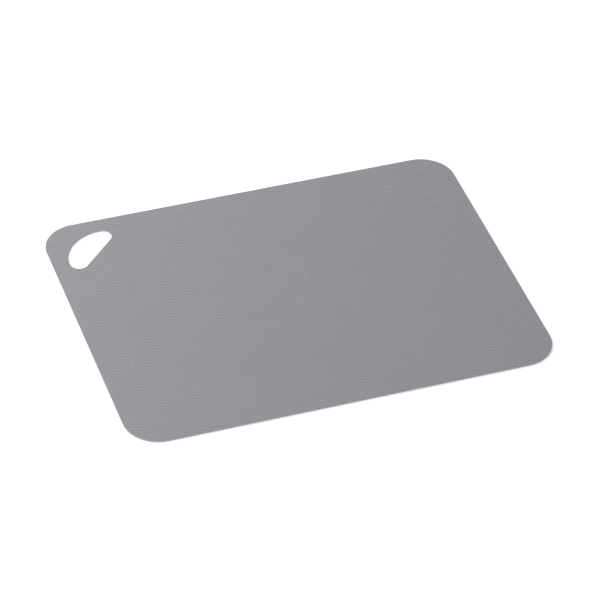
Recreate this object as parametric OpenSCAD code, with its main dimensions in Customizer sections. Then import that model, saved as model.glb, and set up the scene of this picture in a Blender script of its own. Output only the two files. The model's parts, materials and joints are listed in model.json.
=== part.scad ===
// Flexible cutting mat: one thin plastic sheet with a hanging hole cut through one corner.
// It lies flat on Z = 0, with X along its long side and Y along its short side.
// It is used by curling its two short ends upwards. Its middle is divided into narrow strips that turn
// against each other about lines at half the sheet's thickness, and each end is one flat panel.

/* [Sheet] */
// Length of the mat, along X
sheet_l = 360; // [320:5:420]
// Width of the mat, along Y
sheet_w = 280; // [200:5:320]
// Thickness of the sheet
sheet_t = 1.5; // [1:0.1:2.2]
// Radius of the four corners in plan
corner_r = 29; // [10:1:40]
// Chamfer that takes the sharpness off the outer edges
edge_c = 0.3; // [0.1:0.05:0.45]

/* [Hanging hole] */
// Material left between the hole and each of the two edges that meet at its corner
hole_margin = 14; // [10:1:20]
// Radius of the hole's curved side
hole_arc_r = 36; // [30:1:44]
// Depth of the hole from its straight side to the crown of its curved side
hole_depth = 24; // [18:1:26]
// Radius of the hole's two rounded ends
hole_end_r = 8; // [5:0.5:9]

/* [Flexing middle] */
// Least material left between the hole and the first line that the sheet bends on
hole_land = 4; // [3:0.5:12]
// Number of strips on each side of the middle strip
side_strips = 10; // [4:1:14]
// Gap between neighbouring strips
strip_gap = 0.3; // [0.25:0.05:0.5]

/* [Hidden] */
$fn = 96;
sheet_color = [0.57, 0.58, 0.6];
cut_over = 1;

// The hole's outline is an arc of hole_arc_r and a straight side square to the corner's diagonal.
// Arcs of hole_end_r join them. Their centres lie end_u along the diagonal and end_v across it from the
// large arc's centre, and they meet the large arc at meet_angle off the diagonal.
corner_angle = 135;
end_u = hole_arc_r - hole_depth + hole_end_r;
end_v = sqrt(pow(hole_arc_r - hole_end_r, 2) - pow(end_u, 2));
meet_angle = atan2(end_v, end_u);
end_steps = 18;

// Reach of the hole from the arc's centre, towards an edge of the sheet and away from it
reach_out = end_v > end_u ? hole_arc_r : (end_u + end_v) / sqrt(2) + hole_end_r;
reach_in = (end_v - end_u) / sqrt(2) + hole_end_r;
arc_inset = hole_margin + reach_out;

// The end panel holds the whole hole and is a whole number of tenths of a millimetre long.
// The strips share what is left between the two end panels.
end_l = ceil(10 * (arc_inset + reach_in + hole_land)) / 10;
strip_pitch = (sheet_l - 2 * end_l) / (2 * side_strips + 1);

// Section through the sheet from `inner` to its outer edge at `outer`, where both corners are chamfered
module edge_section(inner, outer) {
    polygon([
        [inner, 0],
        [outer - edge_c, 0],
        [outer, edge_c],
        [outer, sheet_t - edge_c],
        [outer - edge_c, sheet_t],
        [inner, sheet_t]
    ]);
}

// A band of the sheet's whole width from x0 to x1, with both of its outer edges chamfered
module band(x0, x1) {
    edge_y = sheet_w / 2;
    translate([x0, 0, 0])
        rotate([90, 0, 90])
            linear_extrude(height = x1 - x0)
                polygon([
                    [edge_c - edge_y, 0],
                    [edge_y - edge_c, 0],
                    [edge_y, edge_c],
                    [edge_y, sheet_t - edge_c],
                    [edge_y - edge_c, sheet_t],
                    [edge_c - edge_y, sheet_t],
                    [-edge_y, sheet_t - edge_c],
                    [-edge_y, edge_c]
                ]);
}

// Strip at place i along the mat, counted from the middle one, with half a gap left at each side
module strip(i) {
    half_l = (strip_pitch - strip_gap) / 2;
    color(sheet_color) band(i * strip_pitch - half_l, i * strip_pitch + half_l);
}

// One end of the sheet, on the +X side, with its two rounded corners
module end_panel() {
    panel_x = sheet_l / 2 - end_l + strip_gap / 2;
    corner_x = sheet_l / 2 - corner_r;
    corner_y = sheet_w / 2 - corner_r;
    band(panel_x, corner_x);
    translate([0, corner_y, 0])
        rotate([90, 0, 0])
            linear_extrude(height = 2 * corner_y)
                edge_section(panel_x, sheet_l / 2);
    for (side = [0, 1])
        mirror([0, side, 0])
            translate([corner_x, corner_y, 0])
                rotate_extrude(angle = 90)
                    edge_section(0, corner_r);
}

// Point number i round the end arc on the hole's left, from the straight side to the large arc
function end_point(i) =
    let (a = 180 - i * (180 - meet_angle) / end_steps)
    [end_u + hole_end_r * cos(a), end_v + hole_end_r * sin(a)];

// Outline of the hanging hole round its large arc's centre, with the crown towards the sheet's corner.
// The last step of each end arc runs on to a point beyond the crown, and the large arc cuts that point off.
module hole_outline() {
    last = end_point(end_steps - 1);
    meet = end_point(end_steps);
    beyond = last[0] + (meet[0] - last[0]) * last[1] / (last[1] - meet[1]);
    left = [for (i = [0 : end_steps - 1]) end_point(i)];
    right = [for (i = [end_steps - 1 : -1 : 0]) [end_point(i)[0], -end_point(i)[1]]];
    rotate(corner_angle)
        intersection() {
            circle(r = hole_arc_r);
            polygon(concat(left, [[beyond, 0]], right));
        }
}

// The end without a hole
module plain_end() {
    color(sheet_color) end_panel();
}

// The end with the hanging hole in its far corner
module hanging_end() {
    color(sheet_color)
        difference() {
            mirror([1, 0, 0]) end_panel();
            translate([arc_inset - sheet_l / 2, sheet_w / 2 - arc_inset, -cut_over])
                linear_extrude(height = sheet_t + 2 * cut_over)
                    hole_outline();
        }
}

strip(0);  // middle_strip
hanging_end();
plain_end();
for (i = [1 : side_strips]) {
    strip(-i);
    strip(i);
}
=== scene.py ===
import json
import math

import bmesh
import bpy
from mathutils import Matrix, Vector

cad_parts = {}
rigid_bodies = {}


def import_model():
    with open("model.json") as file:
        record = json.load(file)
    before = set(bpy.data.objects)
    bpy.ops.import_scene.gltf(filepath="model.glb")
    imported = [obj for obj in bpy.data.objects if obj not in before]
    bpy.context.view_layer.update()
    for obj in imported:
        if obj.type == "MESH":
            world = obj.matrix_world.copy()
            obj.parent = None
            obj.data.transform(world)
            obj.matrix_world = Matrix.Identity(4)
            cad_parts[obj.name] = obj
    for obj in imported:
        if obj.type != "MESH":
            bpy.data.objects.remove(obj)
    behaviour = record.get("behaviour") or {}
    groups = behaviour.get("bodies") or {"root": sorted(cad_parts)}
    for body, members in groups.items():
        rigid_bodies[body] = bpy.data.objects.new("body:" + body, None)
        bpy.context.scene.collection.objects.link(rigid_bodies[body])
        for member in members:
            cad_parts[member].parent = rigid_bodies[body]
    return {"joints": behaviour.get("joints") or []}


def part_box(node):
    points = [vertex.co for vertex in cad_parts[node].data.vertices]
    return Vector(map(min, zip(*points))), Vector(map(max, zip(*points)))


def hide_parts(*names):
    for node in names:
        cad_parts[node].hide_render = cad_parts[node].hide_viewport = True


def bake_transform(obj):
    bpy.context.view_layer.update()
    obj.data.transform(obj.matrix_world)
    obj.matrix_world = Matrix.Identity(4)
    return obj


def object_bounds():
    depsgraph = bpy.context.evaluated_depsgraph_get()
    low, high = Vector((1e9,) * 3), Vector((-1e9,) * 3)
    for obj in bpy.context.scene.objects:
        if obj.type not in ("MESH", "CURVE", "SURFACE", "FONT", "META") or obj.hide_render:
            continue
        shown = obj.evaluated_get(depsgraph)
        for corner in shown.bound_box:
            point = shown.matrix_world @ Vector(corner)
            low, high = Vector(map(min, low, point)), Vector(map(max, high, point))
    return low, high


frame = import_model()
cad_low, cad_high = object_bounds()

# The sheet: one piece of polypropylene, cut out with four rounded corners and a hanging hole in one corner.
# Its edges are taken off all round. It is modelled whole here, and its textured face comes in the next
# section. The hole is drawn round the centre of its large arc, with its straight side square to X.
near_enough = 0.000001
sheet_t = cad_high.z - cad_low.z
corner_r = 0.029
corner_steps = 32
rim_r = 0.0004
rim_steps = 4
hole_inset = 0.0499985
hole_turn = math.radians(135)
hole_arc_r = 0.036
hole_side = 0.012
hole_end_r = 0.008
hole_end_u = 0.020
hole_end_v = math.sqrt((hole_arc_r - hole_end_r) ** 2 - hole_end_u**2)
hole_meet = math.atan2(hole_end_v, hole_end_u)
hole_arc_steps, hole_end_steps = 40, 24
hole_rim_r = 0.0002


def select_where(kind, wanted):
    """In edit mode, selects only the vertices, edges or faces that `wanted` picks."""
    bpy.ops.mesh.select_mode(type=kind)
    bpy.ops.mesh.select_all(action="DESELECT")
    mesh = bmesh.from_edit_mesh(bpy.context.object.data)
    for item in {"VERT": mesh.verts, "EDGE": mesh.edges, "FACE": mesh.faces}[kind]:
        if wanted(item):
            item.select_set(True)
    mesh.select_flush_mode()
    bmesh.update_edit_mesh(bpy.context.object.data)


def started(name):
    """Names the object that was just added and settles its place into its mesh."""
    bpy.ops.object.transform_apply(location=True, rotation=True, scale=True)
    bpy.context.object.name = name
    return bpy.context.object


def combined(piece, other, operation):
    """Adds, cuts or keeps what is common to piece and other, and then deletes other."""
    modifier = piece.modifiers.new("shape", "BOOLEAN")
    modifier.operation = operation
    modifier.solver = "MANIFOLD"
    modifier.object = other
    bpy.context.view_layer.objects.active = piece
    bpy.ops.object.modifier_apply(modifier=modifier.name)
    bpy.data.objects.remove(other)


bpy.ops.object.select_all(action="DESELECT")
bpy.ops.mesh.primitive_cube_add(size=1, location=(cad_low + cad_high) / 2, scale=cad_high - cad_low)
sheet = started("sheet")
bpy.ops.object.mode_set(mode="EDIT")
select_where("EDGE", lambda e: abs(e.verts[0].co.z - e.verts[1].co.z) > sheet_t / 2)
bpy.ops.mesh.bevel(offset=corner_r, segments=corner_steps, affect="EDGES")
bpy.ops.object.mode_set(mode="OBJECT")

bpy.ops.object.select_all(action="DESELECT")
bpy.ops.mesh.primitive_plane_add(size=1)
hole = started("hole")
bpy.ops.object.mode_set(mode="EDIT")
bpy.ops.mesh.select_mode(type="VERT")
bpy.ops.mesh.select_all(action="SELECT")
bpy.ops.mesh.merge(type="CENTER")
bpy.ops.transform.translate(value=(hole_side, hole_end_v, -sheet_t))
for centre, angle, steps in (
    ((hole_end_u, hole_end_v, 0), math.pi - hole_meet, hole_end_steps),
    ((0, 0, 0), 2 * hole_meet, hole_arc_steps),
    ((hole_end_u, -hole_end_v, 0), math.pi - hole_meet, hole_end_steps),
):
    bpy.ops.mesh.spin(steps=steps, angle=angle, center=centre, axis=(0, 0, 1))
bpy.ops.mesh.select_all(action="SELECT")
bpy.ops.mesh.remove_doubles(threshold=near_enough)
bpy.ops.mesh.edge_face_add()
bpy.ops.mesh.extrude_region_move(TRANSFORM_OT_translate={"value": (0, 0, 3 * sheet_t)})
bpy.ops.mesh.select_all(action="SELECT")
bpy.ops.mesh.normals_make_consistent(inside=False)
bpy.ops.object.mode_set(mode="OBJECT")
hole.rotation_euler.z = hole_turn
hole.location = (cad_low.x + hole_inset, cad_high.y - hole_inset, 0)
bpy.ops.object.transform_apply(location=True, rotation=True, scale=True)
combined(sheet, hole, "DIFFERENCE")


def on_rim(edge, inside_hole):
    """True for the edges between a flat face and the wall, either round the hole or round the outside."""
    walls = [abs(face.normal.z) < 0.5 for face in edge.link_faces]
    middle = (edge.verts[0].co + edge.verts[1].co) / 2
    round_hole = (middle - hole_middle).length < hole_reach
    return True in walls and False in walls and round_hole == inside_hole


hole_middle = Vector((cad_low.x + hole_inset, cad_high.y - hole_inset, sheet_t / 2))
hole_reach = hole_arc_r + sheet_t
bpy.context.view_layer.objects.active = sheet
sheet.select_set(True)
bpy.ops.object.mode_set(mode="EDIT")
select_where("EDGE", lambda e: on_rim(e, False))
bpy.ops.mesh.bevel(offset=rim_r, segments=rim_steps, affect="EDGES")
select_where("EDGE", lambda e: on_rim(e, True))
bpy.ops.mesh.bevel(offset=hole_rim_r, segments=rim_steps, affect="EDGES")
bpy.ops.object.mode_set(mode="OBJECT")

# The textured face: two sets of very shallow ridges cross each other, and a low dot stands wherever they
# meet. The roller that the sheet was made on presses them in. A slab with this face trims the plain sheet.
row_pitch = 0.00365
row_h = 0.00007
slant_pitch = 0.0025
slant_h = 0.00011
roll_angle = math.radians(-20)
ridge_steps = 4
face_clear = 0.000002
crest_z = sheet_t - face_clear
valley_z = sheet_t - face_clear - row_h - slant_h

slab_reach = 1.02 * math.hypot(cad_high.x, cad_high.y)
columns = 2 * ridge_steps * math.ceil(slab_reach / slant_pitch)
rows = 2 * ridge_steps * math.ceil(slab_reach / row_pitch)
bpy.ops.object.select_all(action="DESELECT")
bpy.ops.mesh.primitive_grid_add(
    x_subdivisions=columns,
    y_subdivisions=rows,
    size=1,
    location=(0, 0, valley_z),
)
bpy.context.object.scale = (columns * slant_pitch / ridge_steps, rows * row_pitch / ridge_steps, 1)
relief = started("relief")


def row_phase(vertex):
    """How many steps a vertex lies past the crest of a row."""
    return round(vertex.co.y / row_pitch * ridge_steps) % ridge_steps


def slant_phase(vertex):
    """How many steps a vertex lies past the crest of a slanting ridge."""
    return round((vertex.co.x / slant_pitch - vertex.co.y / row_pitch) * ridge_steps) % ridge_steps


bpy.ops.object.mode_set(mode="EDIT")
for phase_of, ridge_h in ((row_phase, row_h), (slant_phase, slant_h)):
    select_where("VERT", lambda v: phase_of(v) != ridge_steps // 2)
    bpy.ops.transform.translate(value=(0, 0, ridge_h / 2))
    select_where("VERT", lambda v: phase_of(v) == 0)
    bpy.ops.transform.translate(value=(0, 0, ridge_h / 2))
bpy.ops.mesh.select_all(action="DESELECT")
bpy.ops.mesh.select_non_manifold()
bpy.ops.mesh.extrude_region_move(TRANSFORM_OT_translate={"value": (0, 0, -3 * sheet_t)})
bpy.ops.mesh.edge_face_add()
bpy.ops.mesh.select_all(action="SELECT")
bpy.ops.mesh.normals_make_consistent(inside=False)
bpy.ops.object.mode_set(mode="OBJECT")
relief.rotation_euler.z = roll_angle
bpy.ops.object.transform_apply(location=True, rotation=True, scale=True)
combined(sheet, relief, "INTERSECT")

# The plastic: matt grey polypropylene, coloured right through, with faint clouds and a fine grain. The crests
# of the ridges are paler than the valleys: painted shade in the valleys and a painted highlight on the
# crests.
# The cut edges are paler still, which is painted light on the walls, and the underside is smooth and of the
# face's mean colour.
# Painted shade and highlight: the valley grey darkens the hollows of the face and the crest grey lightens the
# ridge tops.
valley_painted_shade_grey, crest_painted_highlight_grey = (0.226, 0.230, 0.246), (0.320, 0.325, 0.349)
# Painted light: the edge grey is paler than the face and stands in for the light that the walls catch.
edge_painted_light_grey, back_grey = (0.470, 0.478, 0.497), (0.273, 0.278, 0.297)
steep = 0.9
cloud_scale, speck_scale, grain_scale = 30, 420, 3000
grain_h = 0.00002


def plastic(name, valley, crest, rough, fine):
    """Grey plastic that goes from the valley's colour to the crest's. `fine` is how strong its specks are."""
    made = bpy.data.materials.new(name)
    made.use_nodes = True
    nodes, links = made.node_tree.nodes, made.node_tree.links
    shader = nodes["Principled BSDF"]
    shader.inputs["IOR"].default_value = 1.49
    shader.inputs["Specular IOR Level"].default_value = 0.35
    place = nodes.new("ShaderNodeAttribute")
    place.attribute_name = "flat_place"

    def spread(source, low, high, out_low, out_high):
        """Maps a value from one range onto another."""
        mapped = nodes.new("ShaderNodeMapRange")
        mapped.inputs["From Min"].default_value = low
        mapped.inputs["From Max"].default_value = high
        mapped.inputs["To Min"].default_value = out_low
        mapped.inputs["To Max"].default_value = out_high
        links.new(source, mapped.inputs["Value"])
        return mapped.outputs["Result"]

    def noise(scale, detail):
        """A noise that stays with the plastic when the sheet bends."""
        cloudy = nodes.new("ShaderNodeTexNoise")
        cloudy.inputs["Scale"].default_value = scale
        cloudy.inputs["Detail"].default_value = detail
        links.new(place.outputs["Vector"], cloudy.inputs["Vector"])
        return cloudy.outputs["Fac"]

    apart = nodes.new("ShaderNodeSeparateXYZ")
    links.new(place.outputs["Vector"], apart.inputs[0])
    # Blends the valley colour into the crest colour by height; on the textured face this paints shade into
    # the hollows and a highlight onto the crests.
    tint = nodes.new("ShaderNodeMix")
    tint.data_type = "RGBA"
    tint.inputs[6].default_value = (*valley, 1)
    tint.inputs[7].default_value = (*crest, 1)
    links.new(spread(apart.outputs["Z"], valley_z, crest_z, 0, 1), tint.inputs[0])
    shade = nodes.new("ShaderNodeMath")
    shade.operation = "MULTIPLY"
    links.new(spread(noise(cloud_scale, 3), 0.3, 0.7, 0.985, 1.015), shade.inputs[0])
    links.new(spread(noise(speck_scale, 1), 0.3, 0.7, 1 - fine, 1 + fine), shade.inputs[1])
    colour = nodes.new("ShaderNodeVectorMath")
    colour.operation = "SCALE"
    links.new(tint.outputs[2], colour.inputs[0])
    links.new(shade.outputs[0], colour.inputs["Scale"])
    links.new(colour.outputs[0], shader.inputs["Base Color"])
    grain = noise(grain_scale, 2)
    links.new(spread(grain, 0, 1, rough + 0.06, rough - 0.06), shader.inputs["Roughness"])
    bump = nodes.new("ShaderNodeBump")
    bump.inputs["Strength"].default_value = 0.3
    bump.inputs["Distance"].default_value = grain_h
    links.new(grain, bump.inputs["Height"])
    links.new(bump.outputs[0], shader.inputs["Normal"])
    return made


sheet.data.materials.clear()
sheet.data.materials.append(plastic("grey_polypropylene", valley_painted_shade_grey, crest_painted_highlight_grey, 0.56, 0.03))
# The walls take the paler edge grey, which is painted light in place of the light they catch.
sheet.data.materials.append(plastic("cut_edge_painted_light", edge_painted_light_grey, edge_painted_light_grey, 0.64, 0.04))
sheet.data.materials.append(plastic("smooth_back", back_grey, back_grey, 0.52, 0.03))
for face in sheet.data.polygons:
    face.material_index = 1 if abs(face.normal.z) < steep else 0 if face.normal.z > 0 else 2

# The bending stretches: the one sheet is parted down the middle of every strip, so that each stretch holds
# one bending line. Its two cut ends meet its neighbours', and the CAD parts of its two bodies are hidden.
# Its faces are cut across in fine steps along its bend, all but the textured one, which is fine enough
# already.
joints = sorted(frame["joints"], key=lambda joint: joint["pos_m"][0])
bend_x = [joint["pos_m"][0] for joint in joints]
half_l = (bend_x[-1] - bend_x[0]) / (len(bend_x) - 1) / 2
seam_x = [(left + right) / 2 for left, right in zip(bend_x, bend_x[1:])]
stretch_ends = [cad_low.x, *seam_x, cad_high.x]
bend_steps = 25
upward, downward = 0.95, -0.999
smooth_angle = math.radians(50)

# Where on its bend each stretch begins and ends: 0 is where the bend starts and 1 is where it is complete.
# A bend is longer than its stretch, which keeps the curve even over the seams. The middle seam alone doesn't
# turn, because either end of the mat can be lifted by itself. The two stretches beside it lead up to that.
bend_parts = [(0, 0.62), (0.38, 0.683)] + [(0.317, 0.683)] * (len(joints) // 2 - 2)
bend_parts = [(1 - far, 1 - near) for near, far in reversed(bend_parts)] + bend_parts


def cut(x):
    """Cuts what is selected along the plane at x, and keeps both sides."""
    bpy.ops.mesh.bisect(plane_co=(x, 0, 0), plane_no=(1, 0, 0), threshold=near_enough)


def edit(piece):
    """Makes piece the only selected object and goes into its edit mode."""
    bpy.ops.object.select_all(action="DESELECT")
    bpy.context.view_layer.objects.active = piece
    piece.select_set(True)
    bpy.ops.object.mode_set(mode="EDIT")


def round_back(edge):
    """True for the edges that go round the flat underside."""
    flat = [face.normal.z < downward for face in edge.link_faces]
    return True in flat and False in flat


def on_seam_of_face(place):
    """True where the textured face meets a seam, but not on the rim."""
    on_face = place.z > valley_z - near_enough and abs(place.y) < cad_high.y - 2 * rim_r
    return on_face and min(abs(place.x - x) for x in seam_x) < near_enough


edit(sheet)
for x in seam_x:
    bpy.ops.mesh.select_all(action="SELECT")
    cut(x)
bpy.ops.object.mode_set(mode="OBJECT")
bpy.ops.object.shade_smooth_by_angle(angle=smooth_angle)
flat_place = sheet.data.attributes.new("flat_place", "FLOAT_VECTOR", "POINT")
flat_place.data.foreach_set("vector", [c for v in sheet.data.vertices for c in v.co])

rest = sheet.copy()
rest.data = sheet.data.copy()
bpy.context.collection.objects.link(rest)
for number, joint in enumerate(joints, start=1):
    left_x, right_x = stretch_ends[number - 1 : number + 1]
    stretch = rest
    if number < len(joints):
        edit(rest)
        select_where("FACE", lambda f: f.calc_center_median().x < right_x)
        bpy.ops.mesh.separate(type="SELECTED")
        bpy.ops.object.mode_set(mode="OBJECT")
        stretch = next(piece for piece in bpy.context.selected_objects if piece is not rest)
    stretch.name = f"sheet_stretch_{number}"
    edit(stretch)
    for x in seam_x[max(number - 2, 0) : number]:
        select_where(
            "EDGE", lambda e: e.is_boundary and max(abs(v.co.x - x) for v in e.verts) < near_enough
        )
        bpy.ops.mesh.edge_face_add()
    bpy.ops.mesh.select_all(action="SELECT")
    bpy.ops.mesh.normals_make_consistent(inside=False)
    near, far = bend_parts[number - 1]
    bend_l = 2 * half_l / (far - near)
    bend_start = bend_x[number - 1] - half_l - near * bend_l
    for step in range(bend_steps + 1):
        x = bend_start + step * bend_l / bend_steps
        if left_x < x < right_x:
            select_where("FACE", lambda f: f.normal.z < upward)
            cut(x)
    select_where("EDGE", round_back)
    bpy.ops.mesh.mark_sharp()
    bpy.ops.object.mode_set(mode="OBJECT")
    bpy.ops.object.shade_smooth_by_angle(angle=smooth_angle)
    at_seam = stretch.vertex_groups.new(name="face_at_seam")
    at_seam.add([v.index for v in stretch.data.vertices if on_seam_of_face(v.co)], 1, "REPLACE")
    shading = stretch.modifiers.new("shading", "DATA_TRANSFER")
    shading.vertex_group = at_seam.name
    shading.object = sheet
    shading.use_loop_data = True
    shading.data_types_loops = {"CUSTOM_NORMAL"}
    shading.loop_mapping = "NEAREST_POLYNOR"
    bpy.ops.object.modifier_apply(modifier=shading.name)
    moving = sorted((joint["parent"], joint["child"]), key=lambda body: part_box(body)[0].x)
    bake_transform(stretch)
    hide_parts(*moving)
bpy.data.objects.remove(sheet)

# The studio: a wide pale floor that shows as white and keeps the mat's shadow, a large soft lamp behind the
# mat, a smaller one at its left, a weak low one in front, and an even surround. The floor glows a little for
# the camera, and more so far away, where the lamps don't reach.
floor_l = 20
floor_drop = 0.00002
floor_grey = 0.85
glow_near, glow_far = 0.40, 0.80
glow_rises_from, glow_rises_to = 0.7, 3.0
surround_level = 0.38

bpy.ops.object.select_all(action="DESELECT")
bpy.ops.mesh.primitive_plane_add(size=floor_l, location=(0, 0, -floor_drop))
floor = started("floor")


def shown_as_white(tree):
    """A value that is 1 where the camera looks, also by way of gloss or glass, and 0 for the light itself."""
    nodes, links = tree.nodes, tree.links
    path = nodes.new("ShaderNodeLightPath")
    seen = path.outputs["Is Camera Ray"]
    for ray in ("Is Glossy Ray", "Is Transmission Ray"):
        either = nodes.new("ShaderNodeMath")
        either.operation = "MAXIMUM"
        links.new(seen, either.inputs[0])
        links.new(path.outputs[ray], either.inputs[1])
        seen = either.outputs[0]
    return seen


paper = bpy.data.materials.new("floor_paper")
paper.use_nodes = True
nodes, links = paper.node_tree.nodes, paper.node_tree.links
nodes["Principled BSDF"].inputs["Base Color"].default_value = (floor_grey, floor_grey, floor_grey, 1)
nodes["Principled BSDF"].inputs["Roughness"].default_value = 1.0
nodes["Principled BSDF"].inputs["Specular IOR Level"].default_value = 0.0
away = nodes.new("ShaderNodeVectorMath")
away.operation = "LENGTH"
links.new(nodes.new("ShaderNodeTexCoord").outputs["Object"], away.inputs[0])
lift = nodes.new("ShaderNodeMapRange")
lift.inputs["From Min"].default_value = glow_rises_from
lift.inputs["From Max"].default_value = glow_rises_to
lift.inputs["To Min"].default_value = glow_near
lift.inputs["To Max"].default_value = glow_far
links.new(away.outputs["Value"], lift.inputs["Value"])
faint = nodes.new("ShaderNodeMath")
faint.operation = "MULTIPLY"
links.new(shown_as_white(paper.node_tree), faint.inputs[0])
links.new(lift.outputs["Result"], faint.inputs[1])
glow = nodes.new("ShaderNodeEmission")
links.new(faint.outputs[0], glow.inputs["Strength"])
both = nodes.new("ShaderNodeAddShader")
links.new(nodes["Principled BSDF"].outputs[0], both.inputs[0])
links.new(glow.outputs[0], both.inputs[1])
links.new(both.outputs[0], nodes["Material Output"].inputs["Surface"])
floor.data.materials.append(paper)

world = bpy.data.worlds.new("surround")
bpy.context.scene.world = world
world.use_nodes = True
nodes, links = world.node_tree.nodes, world.node_tree.links
shown = nodes.new("ShaderNodeMapRange")
shown.inputs["To Min"].default_value = surround_level
shown.inputs["To Max"].default_value = 1.0
links.new(shown_as_white(world.node_tree), shown.inputs["Value"])
links.new(shown.outputs[0], nodes["Background"].inputs["Strength"])
nodes["Background"].inputs["Color"].default_value = (1, 1, 1, 1)


def lamp(name, azimuth, elevation, distance, size, level):
    """Adds a square soft lamp that faces the mat. `level` is how bright it alone would show a white mat."""
    place = (
        Matrix.Rotation(math.radians(azimuth), 3, "Z")
        @ Matrix.Rotation(-math.radians(elevation), 3, "Y")
        @ Vector((distance, 0, 0))
    )
    bpy.ops.object.light_add(type="AREA", location=place)
    made = bpy.context.object
    made.name = name
    made.data.size = size
    made.data.energy = level * (math.pi * distance) ** 2 / math.sin(math.radians(elevation))
    made.rotation_euler = place.to_track_quat("Z", "Y").to_euler()


lamp("window_lamp", 100, 38, 3.2, 1.2, 0.30)
lamp("side_lamp", 165, 32, 1.5, 0.7, 0.19)
lamp("front_lamp", 240, 20, 2.5, 1.2, 0.065)

# The camera: a long lens that looks down over the mat's near left corner, tilted a little, as in the
# photograph. It is turned and then moved back from the point that it looks at.
camera_azimuth, camera_elevation = math.radians(-19.587), math.radians(39.938)
camera_roll = math.radians(1.538)
camera_aim = Vector((0.00084, -0.00940, sheet_t))
camera_distance = 2.9272
bpy.ops.object.camera_add()
camera = bpy.context.object
camera.data.sensor_width = 36
camera.data.lens = 215.03
turn = (
    Matrix.Rotation(camera_azimuth, 4, "Z")
    @ Matrix.Rotation(math.pi / 2 - camera_elevation, 4, "X")
    @ Matrix.Rotation(camera_roll, 4, "Z")
)
camera.matrix_world = Matrix.Translation(camera_aim + turn.to_3x3() @ Vector((0, 0, camera_distance))) @ turn
camera.data.clip_end = 100
bpy.context.scene.camera = camera
bpy.context.scene.view_settings.view_transform = "Standard"
